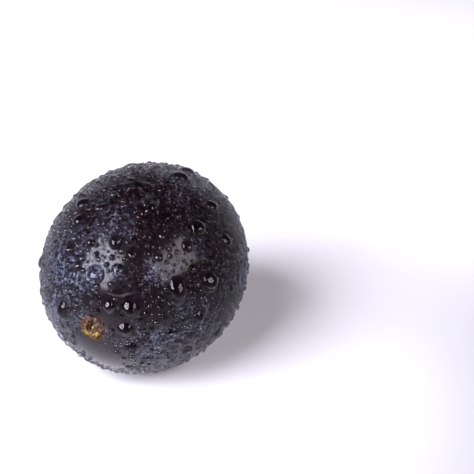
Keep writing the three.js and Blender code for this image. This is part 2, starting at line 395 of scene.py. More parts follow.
def place_measured(operation, against):
    """A vector sum on a place on the table, such as its distance from a point, in metres."""
    node = nodes.new("ShaderNodeVectorMath")
    node.operation = operation
    node.inputs[1].default_value = against
    links.new(place, node.inputs[0])
    return node.outputs["Value"]


# The table's colour is painted light and shade: pale in a pool round the berry and behind it, darker
# past it as painted shade.
from_painted_pool = place_measured("DISTANCE", PAINTED_POOL_MIDDLE)
near_enough = remap(nodes, links, from_painted_pool, *PAINTED_LIGHT_BEHIND_END, 1.0, 0.0)
behind = remap(nodes, links, place_measured("DOT_PRODUCT", AWAY), *PAINTED_LIGHT_BEHIND_START)
painted_light_behind = calculate(nodes, links, "MULTIPLY", behind, near_enough)
outside_painted_light = calculate(nodes, links, "SUBTRACT", 1.0, painted_light_behind)
painted_table_shade = calculate(nodes, links, "MULTIPLY", remap(nodes, links, from_painted_pool, *PAINTED_POOL_EDGE), outside_painted_light)
links.new(mix_colours(nodes, links, painted_table_shade, PALE, PAINTED_SHADE_TONE), shader.inputs["Base Color"])
table.data.materials.append(table_finish)

SOFT_BOXES = {  # degrees round and up, distance, width and height in metres, watts, colour
    "soft_box_left": (-28, 39, 0.5, 0.38, 0.38, 8.0, (0.88, 0.87, 1.0)),
    "soft_box_right": (82, 36, 0.5, 0.42, 0.26, 2.0, (1.0, 0.92, 0.99)),
}
for name, (azimuth, elevation, distance, width, height, watts, colour) in SOFT_BOXES.items():
    lamp = bpy.data.lights.new(name, "AREA")
    lamp.shape = "RECTANGLE"
    lamp.size, lamp.size_y = width, height
    lamp.energy, lamp.color = watts, colour
    box = bpy.data.objects.new(name, lamp)
    SCENE.collection.objects.link(box)
    turn, lift = math.radians(azimuth), math.radians(elevation)
    level = math.cos(lift)
    towards_box = Vector((math.sin(turn) * level, -math.cos(turn) * level, math.sin(lift)))
    box.location = Vector(CENTRE) * MM + towards_box * distance
    box.rotation_euler = towards_box.to_track_quat("Z", "Y").to_euler()

# %% Bright backdrop behind, a dim room elsewhere
BACKDROP = (0.90, 0.90, 1.02)
ROOM_LOW, ROOM_HIGH = (0.15, 0.145, 0.17), (0.025, 0.024, 0.032)
world = bpy.data.worlds.new("studio")
SCENE.world = world
world.use_nodes = True
nodes, links = world.node_tree.nodes, world.node_tree.links
direction = nodes.new("ShaderNodeTexCoord")


def world_fade(axis, low, high, from_colour, to_colour):
    """Blends two colours of the room by how far a direction turns along an axis, from -1 to 1."""
    along_axis = nodes.new("ShaderNodeVectorMath")
    along_axis.operation = "DOT_PRODUCT"
    along_axis.inputs[1].default_value = axis
    links.new(direction.outputs["Generated"], along_axis.inputs[0])
    fade = remap(nodes, links, along_axis.outputs["Value"], low, high)
    return mix_colours(nodes, links, fade, from_colour, to_colour)


low_down = world_fade((-0.5, 0.866, 0), 0.3, 0.95, ROOM_LOW, BACKDROP)
room = world_fade((0, 0, 1), 0.15, 0.5, low_down, ROOM_HIGH)
links.new(room, nodes["Background"].inputs["Color"])
print(len(SOFT_BOXES), "soft boxes and a backdrop")

# %% [markdown]
# ## Fine skin
# A sphere with its poles at the two ends is shaped by the formula, so its rings run round the
# berry as the skin's own growth does. Under the scar the skin is pushed in, to make room for the
# torn fibres.

# %% Shape the skin
SKIN_SEGMENTS, SKIN_RINGS = 380, 255
SCAR_HOLLOW_DEPTH, SCAR_HOLLOW_REACH = 0.8, 1.05
SPOT_EDGE = 0.1  # skin this close to the table is pressed flat on to it


def coordinates(mesh):
    """All points of a mesh, as rows of x, y and z."""
    rows = np.empty(len(mesh.vertices) * 3)
    mesh.vertices.foreach_get("co", rows)
    return rows.reshape(-1, 3)


def move_points(mesh, points_mm):
    """Puts a mesh's points at places given in millimetres."""
    mesh.vertices.foreach_set("co", (points_mm * MM).ravel())
    mesh.update()


bpy.ops.object.select_all(action="DESELECT")
bpy.ops.mesh.primitive_uv_sphere_add(segments=SKIN_SEGMENTS, ring_count=SKIN_RINGS, radius=1)
skin = bpy.context.active_object
skin.name = "berry_skin"
unit = coordinates(skin.data)
skin_along = np.arcsin(np.clip(unit[:, 2], -1, 1))
skin_round = np.arctan2(unit[:, 0], unit[:, 1])
skin_mm = skin_points(skin_round, skin_along)
from_axis = np.hypot(skin_mm[:, 0], skin_mm[:, 2] - CENTRE[2])
hollow = np.clip(1.5 - from_axis / SCAR_HOLLOW_REACH, 0, 1) * SCAR_HOLLOW_DEPTH
skin_mm[:, 1] += np.where(skin_along > 0, hollow, 0)
skin_mm[:, 2] = np.where(skin_mm[:, 2] < SPOT_EDGE, 0, skin_mm[:, 2])
move_points(skin.data, skin_mm)
bpy.ops.object.shade_smooth()
print("skin has", len(skin.data.polygons), "faces")

# %% [markdown]
# ## Where the bloom is rubbed off, and where the skin is wet
# A grape's bloom is a waxy blue-grey dust. Fingers and running water rub it off in patches, and
# the skin under it is purple-black. Each patch is a place with a reach. Water drowns the bloom
# under it, so a dark spot lies under each bead, except where a drop has rolled on to whole bloom.
# Brown crumbs lie near the scar, and on the underside near it a grey haze is painted as a
# painted reflection of the table. The amounts go on the skin as attributes, which the material
# reads, so the pattern follows the surface and stays put from every side.

# %% Paint the patches as attributes
RUBBED_PATCHES = [  # degrees round, degrees along, reach in mm, strength
    (23, 24, 3.6, 1.0), (24, 38, 2.4, 0.8), (1, 8, 3.2, 0.8), (63, 2, 3.6, 0.9), (29, 50, 2.2, 0.8),
    (27, 66, 1.9, 1.0), (50, 64, 2.0, 1.0), (67, 54, 2.0, 0.9), (67, 25, 2.4, 0.8),
    (-30, 18, 2.6, 0.7), (52, 74, 2.0, 1.0), (20, 78, 1.6, 0.8), (-164, 73, 3.0, 1.0),
    (168, 62, 3.2, 1.0), (42, -6, 3.0, 0.7), (170, -30, 5.0, 0.8), (-90, -20, 4.5, 0.7),
    (-140, 20, 3.0, 0.7), (110, -40, 4.0, 0.7),
]
BLOOM_PATCHES = [
    (-43, 59, 2.8, 0.9), (-106, 69, 2.6, 1.0), (-47, 36, 2.6, 0.6), (113, 53, 2.6, 0.8),
    (103, 30, 2.8, 0.8), (-1, 60, 1.6, 1.0), (19, 54, 1.0, 1.0), (80, -8, 3.0, 0.9),
    (9, 32, 1.9, 0.8), (41, 45, 1.5, 0.7), (-60, 0, 3.5, 0.7), (20, -50, 4.0, 0.8),
    (118, 66, 1.0, 1.0), (128, 54, 0.8, 1.0), (96, 47, 1.0, 1.0), (119, 33, 1.0, 1.0),
    (103, 36, 0.7, 1.0),
]
# Where grey is painted on the underside near the scar, as a painted reflection of the table
PAINTED_REFLECTION_PATCHES = [(-164, 73, 3.0, 0.9), (168, 62, 3.2, 0.9), (140, 58, 2.4, 0.7)]
DRY_PATCHES = [(82, -8, 7.0, 1.0), (95, 22, 5.0, 0.8), (60, -30, 5.0, 0.7), (-58, 50, 6.5, 0.75)]
PATCH_FALL = 1.2  # how steeply a patch fades towards its reach
SCAR_HALO_REACH = 2.9
CRUMB_REACH, CRUMBS_FARTHER, CRUMB_FADE = 1.9, 0.35, 0.55
CRUMBS_FARTHEST_AT = math.radians(115)
DUSTY_BEADS = (19, 20)  # rows of the list of large beads that lie on whole bloom
HALF_DUSTY_BEADS = (25, 26, 31, 32, 33)  # those with bloom under their lower half alone
DUSTY_SHARE = 0.86  # of the way to a drop's edge
WET_REACH, WATER_EDGE = 0.5, 0.1  # how far from its edge a bead keeps the skin wet, and darkens it
SPOT_REACH, SPOT_LEVEL, SPOT_FADE = 1.3, 2.1, 1.6  # dark spots under fine beads, in bead radii


def patch_amount(patches, points_mm):
    """How much of each kind of patch lies at each point, from 0 to 1."""
    amount = np.zeros(len(points_mm))
    for degrees_round, degrees_along, reach, strength in patches:
        away = np.linalg.norm(points_mm - skin_place(degrees_round, degrees_along), axis=1)
        amount = np.maximum(amount, strength * np.exp(-((away / reach) ** 2) * PATCH_FALL))
    return amount


def under_fine_beads(points_mm):
    """1 under each fine bead, down to 0 just past its edge."""
    tree = kdtree.KDTree(len(points_mm))
    for i, point in enumerate(points_mm):
        tree.insert(point, i)
    tree.balance()
    covered = np.zeros(len(points_mm))
    for one in small_beads:
        half = one["width"] / 2
        for _, i, away in tree.find_range(one["place"], SPOT_REACH * half):
            covered[i] = max(covered[i], min(1, SPOT_LEVEL - SPOT_FADE * away / half))
    return covered


def under_drops(points_mm, rows, from_middle):
    """True under the listed drops, from a distance in mm downhill of each one's middle."""
    under = np.zeros(len(points_mm), dtype=bool)
    for one in (beads[row] for row in rows):
        low_enough = (points_mm - one["place"]) @ one["downhill"] > from_middle
        under |= (bead_share(points_mm, one) < DUSTY_SHARE) & low_enough
    return under


def give_attribute(mesh, name, values):
    """Stores one number for each point of a mesh, for its material to read."""
    attribute = mesh.attributes.new(name, "FLOAT", "POINT")
    attribute.data.foreach_set("value", np.asarray(values, dtype=np.float32))


from_scar = np.linalg.norm(skin_mm - SCAR_PLACE, axis=1)
rubbed = patch_amount(RUBBED_PATCHES, skin_mm)
bloomed = patch_amount(BLOOM_PATCHES, skin_mm)
rays = 1 + 0.16 * np.sin(41 * skin_round) * np.sin(17 * skin_round + 1) + 0.10 * np.sin(89 * skin_round)
crumb_reach = CRUMB_REACH + CRUMBS_FARTHER * np.cos(skin_round - CRUMBS_FARTHEST_AT)
dusty_bead = under_drops(skin_mm, DUSTY_BEADS, -LARGEST_BEAD)
dusty_bead |= under_drops(skin_mm, HALF_DUSTY_BEADS, 0.05)
under_water = np.maximum(wet_amount(skin_mm, WATER_EDGE) > 0.98, under_fine_beads(skin_mm))
for name, amount in {
    "bloom_left": np.clip(0.5 + 0.5 * bloomed - 0.75 * rubbed, 0, 1),
    # painted reflection of the table, streaked by the rays
    "painted_reflection_haze": np.clip(patch_amount(PAINTED_REFLECTION_PATCHES, skin_mm) * rays, 0, 1),
    "scar_specks": np.clip((crumb_reach - from_scar) / CRUMB_FADE, 0, 1),
    "wet": wet_amount(skin_mm, WET_REACH) * (1 - dusty_bead),
    "dusty_bead": 0.8 * dusty_bead,
    "dried": patch_amount(DRY_PATCHES, skin_mm),
    "under_water": under_water,
    "scar_halo": np.clip(1.6 - from_scar / SCAR_HALO_REACH * 1.2, 0, 1),
}.items():
    give_attribute(skin.data, name, amount)
print("bloom, wet and halo are painted")

# %% [markdown]
# ## The skin's material
# Noise of three sizes breaks the bloom up: slow clouds, streaks a millimetre wide, and a dust of
# fine grains. Where the bloom is thin the skin is darker, and a thin coat with the index of water
# makes it mirror the soft boxes. The coat fades where the bloom is thick, where the skin has
# dried and under water, where the beads do the mirroring. A slow bump breaks the mirrored windows
# up, and a fine one gives the wax its grain.

# %% Bloomy wet grape skin
PURPLE_BLACK, BARE_PURPLE = (0.0016, 0.0007, 0.0014), (0.0110, 0.0046, 0.0072)
BLOOM_BLUE, BLOOM_PALE = (0.078, 0.089, 0.140), (0.36, 0.40, 0.52)
# The grey beside the halo brown is a painted reflection of the table on the underside
HALO_BROWN, PAINTED_REFLECTION_GREY = (0.009, 0.004, 0.006), (0.012, 0.011, 0.014)
SPECK_BROWN = (0.075, 0.032, 0.014)

skin_finish, nodes, links, shader = new_material("grape_skin_finish")
where = object_millimetres(nodes, links)
clouds = noise_of(nodes, links, where, 0.22, 3, 0.6)
streaks = noise_of(nodes, links, where, 1.1, 4, 1.2, 0.6)
grains = noise_of(nodes, links, where, 2.8, 3, 0.3, 0.65)
specks = noise_of(nodes, links, where, 5.0, 1)
bloom_left = attribute_of(nodes, "bloom_left")
wet = attribute_of(nodes, "wet")
halo = attribute_of(nodes, "scar_halo")
under_water = attribute_of(nodes, "under_water")
dusty_bead = attribute_of(nodes, "dusty_bead")

cloudy = calculate(nodes, links, "MULTIPLY", clouds, 0.9)
broken = calculate(nodes, links, "ADD", cloudy, calculate(nodes, links, "MULTIPLY", streaks, 0.8))
patchy = calculate(nodes, links, "ADD", broken, calculate(nodes, links, "MULTIPLY", bloom_left, 1.1))
bloom = remap(nodes, links, patchy, 1.10, 1.95)
dusty = calculate(nodes, links, "MULTIPLY", bloom, remap(nodes, links, grains, 0.48, 0.57, 0.03, 1.0))
dry = calculate(nodes, links, "SUBTRACT", 1.0, wet)
dust_in_air = calculate(nodes, links, "MULTIPLY", dusty, remap(nodes, links, dry, 0.0, 1.0, 0.35, 1.0))
drowning = calculate(nodes, links, "SUBTRACT", 0.85, dusty_bead)
drowned = calculate(nodes, links, "MULTIPLY", under_water, drowning)
spared = calculate(nodes, links, "SUBTRACT", 1.0, drowned)
dust = calculate(nodes, links, "MULTIPLY", dust_in_air, spared)

bare = mix_colours(nodes, links, remap(nodes, links, streaks, 0.35, 0.7), PURPLE_BLACK, BARE_PURPLE)
ringed = mix_colours(nodes, links, calculate(nodes, links, "MULTIPLY", halo, 0.55), bare, HALO_BROWN)
# Painted reflection: a grey haze where the underside near the scar mirrors the table
with_painted_reflection = mix_colours(nodes, links, attribute_of(nodes, "painted_reflection_haze"), ringed, PAINTED_REFLECTION_GREY)
crumb_shapes = remap(nodes, links, specks, 0.50, 0.58)
crumbs = calculate(nodes, links, "MULTIPLY", attribute_of(nodes, "scar_specks"), crumb_shapes)
crumbed = mix_colours(nodes, links, crumbs, with_painted_reflection, SPECK_BROWN)
waxed = mix_colours(nodes, links, dust, crumbed, BLOOM_BLUE)
bright_specks = calculate(nodes, links, "MULTIPLY", remap(nodes, links, specks, 0.55, 0.64), dust)
paled = calculate(nodes, links, "MULTIPLY", bright_specks, 0.8)
speckled = mix_colours(nodes, links, paled, waxed, BLOOM_PALE)
links.new(speckled, shader.inputs["Base Color"])
links.new(remap(nodes, links, dust, 0.0, 1.0, 0.35, 0.55), shader.inputs["Roughness"])
shader.inputs["IOR"].default_value = 1.10
filmed = calculate(nodes, links, "SUBTRACT", 1.0, calculate(nodes, links, "MULTIPLY", dust, 0.75))
dried = calculate(nodes, links, "MULTIPLY", attribute_of(nodes, "dried"), 0.95)
undried = calculate(nodes, links, "SUBTRACT", 1.0, dried)
wet_film = calculate(nodes, links, "MULTIPLY", filmed, undried)
in_air = calculate(nodes, links, "SUBTRACT", 1.0, under_water)
links.new(calculate(nodes, links, "MULTIPLY", wet_film, in_air), shader.inputs["Coat Weight"])
shader.inputs["Coat Roughness"].default_value = 0.15
shader.inputs["Coat IOR"].default_value = 1.34

ripples = noise_of(nodes, links, where, 0.8, 2, 0.4)
wavy = bump_of(nodes, links, ripples, 0.5, 0.10)
relief = calculate(nodes, links, "MULTIPLY", grains, calculate(nodes, links, "ADD", dust, 0.5))
grainy = bump_of(nodes, links, relief, 0.4, 0.03)
links.new(wavy.outputs["Normal"], grainy.inputs["Normal"])
links.new(grainy.outputs["Normal"], shader.inputs["Normal"])
skin.data.materials.append(skin_finish)
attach(skin, "root")
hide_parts("berry")
print("skin finished")

# %% [markdown]
# ## Water
# One bead is modelled from a sphere: its lower half is cut away and closed, and its edge is sunk
# a little into the skin, so no gap shows. Its copies are stretched to each bead's width and
# length, stand higher at their lower end where the skin is steep, and are joined into one piece.
# The water is clear, with water's own refraction, so the soft boxes are mirrored in it and the
# skin beneath is seen through it.

# %% Model one dome and copy it
SUNK = 0.06  # how far a bead's edge is sunk in the skin, as a share of its width
DOME_EDGE = 0.99  # past this share of the way out, a point is on the edge


def cast_taken():
    """The points and faces of the piece that has just been modelled, which is then thrown away."""
    cast = bpy.context.active_object
    points, faces = coordinates(cast.data), [list(face.vertices) for face in cast.data.polygons]
    bpy.data.objects.remove(cast)
    return points, faces


def outward_and_done():
    """Turns all faces outwards and leaves edit mode."""
    bpy.ops.mesh.select_all(action="SELECT")
    bpy.ops.mesh.normals_make_consistent(inside=False)
    bpy.ops.object.mode_set(mode="OBJECT")


def dome(segments, rings, cut=0.0):
    """Points and faces of a closed unit dome, cut from a ball: x across, y downhill, z up."""
    bpy.ops.object.select_all(action="DESELECT")
    bpy.ops.mesh.primitive_uv_sphere_add(segments=segments, ring_count=rings * 2, radius=1)
    bpy.ops.object.mode_set(mode="EDIT")
    bpy.ops.mesh.select_all(action="SELECT")
    bpy.ops.mesh.bisect(plane_co=(0, 0, cut), plane_no=(0, 0, 1), clear_inner=True, use_fill=True)
    outward_and_done()
    return cast_taken()


def dome_points(unit_dome, one):
    """A unit dome's points on the skin, raised as half a ball that is fuller at its downhill end."""
    share = np.hypot(unit_dome[:, 0], unit_dome[:, 1])
    foot = math.sqrt(one["width"] * one["run"]) / 2
    top = 2 * one["rise"] * foot
    fat_end = 1 + BEAD_FAT_END * one["steepness"] * unit_dome[:, 1]
    height = top * np.sqrt(np.clip(1 - share**2, 0, 1)) * fat_end
    turn = np.arctan2(unit_dome[:, 1], unit_dome[:, 0])
    waves = np.sin(3 * turn + one["place"][0]) + 0.6 * np.sin(5 * turn + one["place"][1])
    ragged = 1 + one.get("ragged", 0) * waves
    across = unit_dome[:, 0] * ragged * one["width"] / 2
    down = unit_dome[:, 1] * ragged * one["run"] / 2
    flat = one["place"] + across[:, None] * one["across"] + down[:, None] * one["downhill"]
    raised = skin_points(*skin_angles(flat)) + height[:, None] * one["normal"]
    sunk = SUNK * min(one["width"], one["run"])
    return raised - np.where(share > DOME_EDGE, sunk, 0)[:, None] * one["normal"]


def joined_copies(name, unit_points, unit_faces, sites, place_points):
    """One object made of a copy of a unit shape at each site, placed there by the given function."""
    points = np.concatenate([place_points(unit_points, site) for site in sites])
    step = len(unit_points)
    faces = [[corner + step * i for corner in face] for i in range(len(sites)) for face in unit_faces]
    mesh = bpy.data.meshes.new(name)
    mesh.from_pydata((points * MM).tolist(), [], faces)
    mesh.shade_smooth()
    piece = bpy.data.objects.new(name, mesh)
    SCENE.collection.objects.link(piece)
    triangles = sum(len(face) - 2 for face in faces)
    print(name, "has", len(sites), "copies and", triangles, "triangles")
    return piece


# %% Clear water
WATER_IOR = 1.333


def water_of(name, tint, glint=0.5, roughness=0.0, glint_tint=(1, 1, 1)):
    """Water that darkens what is seen through it a little, as wet skin is darker than dry."""
    finish, nodes, links, shader = new_material(name)
    shader.inputs["Base Color"].default_value = (*tint, 1)
    shader.inputs["Transmission Weight"].default_value = 1
    shader.inputs["Roughness"].default_value = roughness
    shader.inputs["IOR"].default_value = WATER_IOR
    shader.inputs["Specular IOR Level"].default_value = glint
    shader.inputs["Specular Tint"].default_value = (*glint_tint, 1)
    return finish


def finish_water(name, unit_shape, sites, place_points, finish):
    """Joins the copies of a shape to one piece of water and ties it to the berry."""
    piece = joined_copies(name, *unit_shape, sites, place_points)
    piece.data.materials.append(finish)
    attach(piece, "root")


water_finish = water_of("water_finish", (0.90, 0.89, 0.92))
lip_finish = water_of("lip_finish", (0.90, 0.87, 0.93), 1.0, 0.28, (0.95, 0.82, 1.0))
mist_finish = water_of("mist_finish", (0.93, 0.93, 0.95), 0.9)
finish_water("water_beads_large", dome(28, 7), beads, dome_points, water_finish)

# %% Smears of running water
SMEARS = [  # degrees round, degrees along, width across, downhill length in mm, and height as a share
    (13, 13, 2.4, 1.2, 0.12), (-2, 4, 3.4, 1.2, 0.10), (43, 10, 2.4, 1.6, 0.12),
]
SMEAR_RAGGED = 0.04
smears = [{**placed_bead(*row[:4], False), "rise": row[4], "ragged": SMEAR_RAGGED} for row in SMEARS]
finish_water("water_smears", dome(40, 6), smears, dome_points, water_finish)

# %% [markdown]
# ## Lips of water
# Where a film of water ends, and round the lower side of a drop that has begun to slide, the
# water stands up as a thin lip that catches the light. One rod is modelled, cut across many
# times, and each copy is laid along its own path on the skin and drawn thin at both ends.

# %% Lips of water
LIP_PATHS = [  # places on the skin, in degrees round and along
    [(20.2, 66.8), (29.2, 66.0), (37.5, 63.7), (41.2, 60.2), (44.8, 57.0), (49.6, 54.4)],
    [(-10.0, 7.2), (-6.5, 5.4), (-2.0, 4.0), (2.6, 2.8), (5.9, 2.4), (8.9, 3.9)],
    [(8.0, 17.4), (9.6, 14.7), (12.2, 13.1), (15.5, 12.7), (18.2, 13.8)],
    [(7.0, 30.9), (7.9, 29.3), (10.3, 29.0), (12.9, 30.0)],
    [(-17.4, 44.1), (-14.8, 42.5), (-11.3, 42.1), (-7.9, 43.1)],
]
LIPPED_BEADS = (21, 22, 23, 24, 25, 26, 27, 28, 30, 31, 32)  # rows of large beads that begin to slide
LIP_WIDTH, LIP_HEIGHT = 0.36, 0.15
LIP_CUTS = 30
LIP_STEP = 0.02  # how far ahead and back a lip looks for its direction, as a share of its path
LIP_THINNING = 0.97  # how thin its ends are drawn
LIP_ASIDE, LIP_BELOW = 0.55, 0.57  # where a bead's lip lies, as a share of its size


def rod():
    """A unit rod along Z, cut across many times: its points and faces."""
    bpy.ops.object.select_all(action="DESELECT")
    bpy.ops.mesh.primitive_cylinder_add(vertices=10, radius=1, depth=2)
    bpy.ops.object.mode_set(mode="EDIT")
    for cut in range(1, LIP_CUTS):
        bpy.ops.mesh.select_all(action="SELECT")
        bpy.ops.mesh.bisect(plane_co=(0, 0, 2 * cut / LIP_CUTS - 1), plane_no=(0, 0, 1))
    outward_and_done()
    return cast_taken()


def lip_points(unit_rod, path):
    """A rod's points laid along a path of angles, half sunk in the skin and thin at its ends."""
    share = (unit_rod[:, 2] + 1) / 2
    steps = np.linspace(0, 1, len(path))

    def angles_at(way):
        return np.interp(way, steps, path[:, 0]), np.interp(way, steps, path[:, 1])

    round_, along = angles_at(share)
    forward = skin_points(*angles_at(np.minimum(share + LIP_STEP, 1)))
    back = skin_points(*angles_at(np.maximum(share - LIP_STEP, 0)))
    normal = skin_normals(round_, along)
    aside = np.cross(normal, forward - back)
    aside /= np.linalg.norm(aside, axis=1, keepdims=True)
    thin = np.sqrt(1 - LIP_THINNING * unit_rod[:, 2] ** 2)
    sideways = unit_rod[:, 0] * thin * LIP_WIDTH / 2
    upwards = unit_rod[:, 1] * thin * LIP_HEIGHT
    return skin_points(round_, along) + sideways[:, None] * aside + upwards[:, None] * normal


def round_a_bead(one):
    """The path of a lip round the lower side of a bead."""
    turn = np.radians(np.linspace(12, 168, 13))
    across = LIP_ASIDE * one["width"] * np.cos(turn)
    down = LIP_BELOW * one["run"] * np.sin(turn)
    flat = one["place"] + across[:, None] * one["across"] + down[:, None] * one["downhill"]
    return np.stack(skin_angles(flat), axis=1)


paths = [np.radians(path) for path in LIP_PATHS] + [round_a_bead(beads[i]) for i in LIPPED_BEADS]
finish_water("water_lips", rod(), paths, lip_points, lip_finish)

# %% [markdown]
# ## Fine beads and mist
# Each fine bead is too small to show more than a glint over a dark spot, so a few faces are
# enough. It stands up as nearly a whole ball, because the wax is hard to wet: the ball is cut
# below its middle and set straight on the skin.

# %% Model the fine beads
SMALL_CUT, SMALL_RISE = -0.25, 0.82  # where the ball is cut, and its height as a share of a whole one
SMALL_SUNK = 0.16  # how deep its foot is sunk in the skin, in bead radii
ANY_WAY = [0.3, 0.5, 0.81]  # a direction to measure sideways from


def small_dome_points(unit_dome, one):
    """A small bead, as a cap that sits straight on the skin."""
    normal = one["normal"]
    across = np.cross(normal, ANY_WAY)
    across /= np.linalg.norm(across)
    downhill = np.cross(normal, across)
    half = one["width"] / 2
    flat = unit_dome[:, :1] * half * across + unit_dome[:, 1:2] * half * downhill
    height = (unit_dome[:, 2] - SMALL_CUT - SMALL_SUNK) * half * SMALL_RISE
    return one["place"] + flat + height[:, None] * normal


finish_water("water_beads_small", dome(10, 3, SMALL_CUT), small_beads, small_dome_points, mist_finish)
finish_water("water_mist", dome(6, 2, SMALL_CUT), mist, small_dome_points, mist_finish)

# %% [markdown]
# ## The torn stalk scar
# Where the stalk is pulled off, the skin keeps a ragged corky collar round a small dark pit, with
# shreds of yellow fibre and the stub of the strand that fed the berry. The collar is built up
# ring by ring from a circle, by extruding and resizing, and then roughened. One shred is modelled
# and copied round it, each copy turned, bent and sized by a seeded draw.

# %% Build a ring stack
def ring_stack(name, segments, profile):
    """A closed round piece from rings of radius and height in mm, from its underside to its middle."""
    bpy.ops.object.select_all(action="DESELECT")
    radius, height = profile[0]
    bpy.ops.mesh.primitive_circle_add(
        vertices=segments, radius=radius, fill_type="NGON", location=(0, 0, height)
    )
    piece = bpy.context.active_object
    piece.name = name
    bpy.ops.object.mode_set(mode="EDIT")
    bpy.ops.mesh.select_all(action="SELECT")
    for next_radius, next_height in profile[1:]:
        lift = {"value": (0, 0, next_height - height)}
        bpy.ops.mesh.extrude_region_move(TRANSFORM_OT_translate=lift)
        share = next_radius / radius
        bpy.ops.transform.resize(value=(share, share, 1), center_override=(0, 0, next_height))
        radius, height = next_radius, next_height
    bpy.ops.mesh.select_all(action="DESELECT")
    bpy.ops.mesh.select_non_manifold()
    bpy.ops.mesh.edge_face_add()
    outward_and_done()
    bpy.ops.object.transform_apply(location=True, rotation=True, scale=True)
    return piece


def at_stalk_end(local):
    """Places in mm over the scar, from x to the right, y up and z out of the berry."""
    y = SCAR_PLACE[1] - local[:, 2]
    return np.stack([local[:, 0], y, local[:, 1] + CENTRE[2]], axis=1)


# %% The collar and its pit
COLLAR_PROFILE = [  # from the sunk underside, over the collar and down into the pit
    (1.25, -0.72), (1.42, -0.25), (1.46, -0.08), (1.40, 0.03), (1.28, 0.12), (1.14, 0.19),
    (1.0, 0.25), (0.88, 0.28), (0.76, 0.27), (0.66, 0.22), (0.57, 0.12), (0.5, -0.04),
    (0.44, -0.22), (0.37, -0.38), (0.27, -0.48), (0.15, -0.53), (0.05, -0.55),
]
COLLAR_ROUGH, COLLAR_FINE_ROUGH = 0.22, 0.09
COLLAR_LOBES, COLLAR_RAGGED = 7, 0.07
NOISE_SEED = 4
noise.seed_set(NOISE_SEED)  # Blender seeds this noise by the clock unless it is told not to


def roughened(local, seed, amount, per_mm):
    """Moves places in mm by a seeded noise, in and out as much as sideways."""
    moved = local.copy()
    for i, place in enumerate(local):
        shift = noise.turbulence_vector(Vector(place) * per_mm + Vector((seed, 0, 0)), 3, False)
        moved[i] += np.array(shift) * amount
    return moved


collar = ring_stack("scar_collar", 96, COLLAR_PROFILE)
local = coordinates(collar.data)
turn = np.arctan2(local[:, 1], local[:, 0])
waves = np.sin(COLLAR_LOBES * turn) + np.sin(3 * turn + 1) + 0.5 * np.sin(13 * turn + 2)
local[:, :2] *= (1 + COLLAR_RAGGED * waves)[:, None]
local = roughened(roughened(local, 5, COLLAR_ROUGH, 1.8), 8, COLLAR_FINE_ROUGH, 5.5)
move_points(collar.data, at_stalk_end(local))
collar.data.shade_smooth()
print("collar has", len(collar.data.polygons), "faces")

# %% Shreds of fibre
SHREDS, SHRED_SEED = 300, 7
SHRED_LENGTH = (0.16, 0.45)
SHRED_WIDTH = (0.07, 0.30)
SHRED_FLATNESS = 0.45  # thickness as a share of width
SHRED_NEAREST, SHRED_FARTHEST, SHRED_SUNK = 0.5, 1.42, 0.07  # mm from the middle, and into the collar
YELLOW_TUFTS = [  # degrees from the right, distance from the middle and reach in mm, strength
    (-142, 1.08, 0.52, 1.1), (-88, 0.92, 0.50, 1.1), (-45, 0.95, 0.42, 1.0), (-5, 0.80, 0.38, 0.8),
    (85, 0.62, 0.30, 0.6), (150, 0.62, 0.32, 0.6), (-160, 0.55, 0.30, 0.5),
]


def tuft_amount(across, up):
    """How much yellow fibre shows at a place on the scar, from 0 to 1."""
    amount = np.zeros(np.shape(across))
    for degrees, distance, reach, strength in YELLOW_TUFTS:
        angle = math.radians(degrees)
        away = np.hypot(across - distance * math.cos(angle), up - distance * math.sin(angle))
        amount = np.maximum(amount, strength * np.exp(-((away / reach) ** 2)))
    return amount


def colour_torn(piece, yellow, outer, pit):
    """Stores how yellow, how near the collar's outer edge and how deep in the pit each point is."""
    for name, values in (("yellow", yellow), ("outer", outer), ("pit", pit)):
        give_attribute(piece.data, name, np.broadcast_to(values, len(piece.data.vertices)))


def shred():
    """A unit shred along +Z: a thin tapered blade, cut across."""
    bpy.ops.object.select_all(action="DESELECT")
    ends = {"radius1": 0.5, "radius2": 0.12}
    bpy.ops.mesh.primitive_cone_add(vertices=5, depth=1, location=(0, 0, 0.5), **ends)
    bpy.ops.object.mode_set(mode="EDIT")
    for height in (0.35, 0.7):
        bpy.ops.mesh.select_all(action="SELECT")
        bpy.ops.mesh.bisect(plane_co=(0, 0, height), plane_no=(0, 0, 1))
    outward_and_done()
    bpy.ops.object.transform_apply(location=True, rotation=True, scale=True)
    return cast_taken()


def shred_points(unit_shred, one):
    """A shred with its foot in the collar, leaning and bending as drawn."""
    points = unit_shred * [one["width"], one["width"] * SHRED_FLATNESS, one["length"]]
    points[:, 0] += one["bend"] * one["length"] * unit_shred[:, 2] ** 2
    turned = Matrix.Rotation(one["turn"], 3, "Z") @ Matrix.Rotation(one["lean"], 3, "Y")
    turned = turned @ Matrix.Rotation(one["twist"], 3, "Z")
    return at_stalk_end(points @ np.array(turned).T + one["foot"])


draw = np.random.default_rng(SHRED_SEED)
shreds = []
collar_reach = np.array([(radius, height) for radius, height in COLLAR_PROFILE[2:12]])
for _ in range(SHREDS):
    turn = draw.uniform(-math.pi, math.pi)
    radius = draw.uniform(SHRED_NEAREST, SHRED_FARTHEST)
    height = np.interp(radius, collar_reach[::-1, 0], collar_reach[::-1, 1])
    across, up = radius * math.cos(turn), radius * math.sin(turn)
    yellow = tuft_amount(across, up) * 1.1 - 0.1 + draw.normal() * 0.2
    shreds.append({
        "foot": np.array([across, up, height - SHRED_SUNK]),
        "turn": turn, "lean": draw.uniform(-0.5, 1.35), "twist": draw.uniform(0, math.pi),
        "bend": draw.uniform(-0.5, 0.9), "length": draw.uniform(*SHRED_LENGTH),
        "width": SHRED_WIDTH[0] + (SHRED_WIDTH[1] - SHRED_WIDTH[0]) * draw.random() ** 2.5,
        "yellow": min(max(yellow, 0), 1), "outer": min(max((radius - 1.05) / 0.3, 0), 1),
    })
unit_shred, shred_faces = shred()
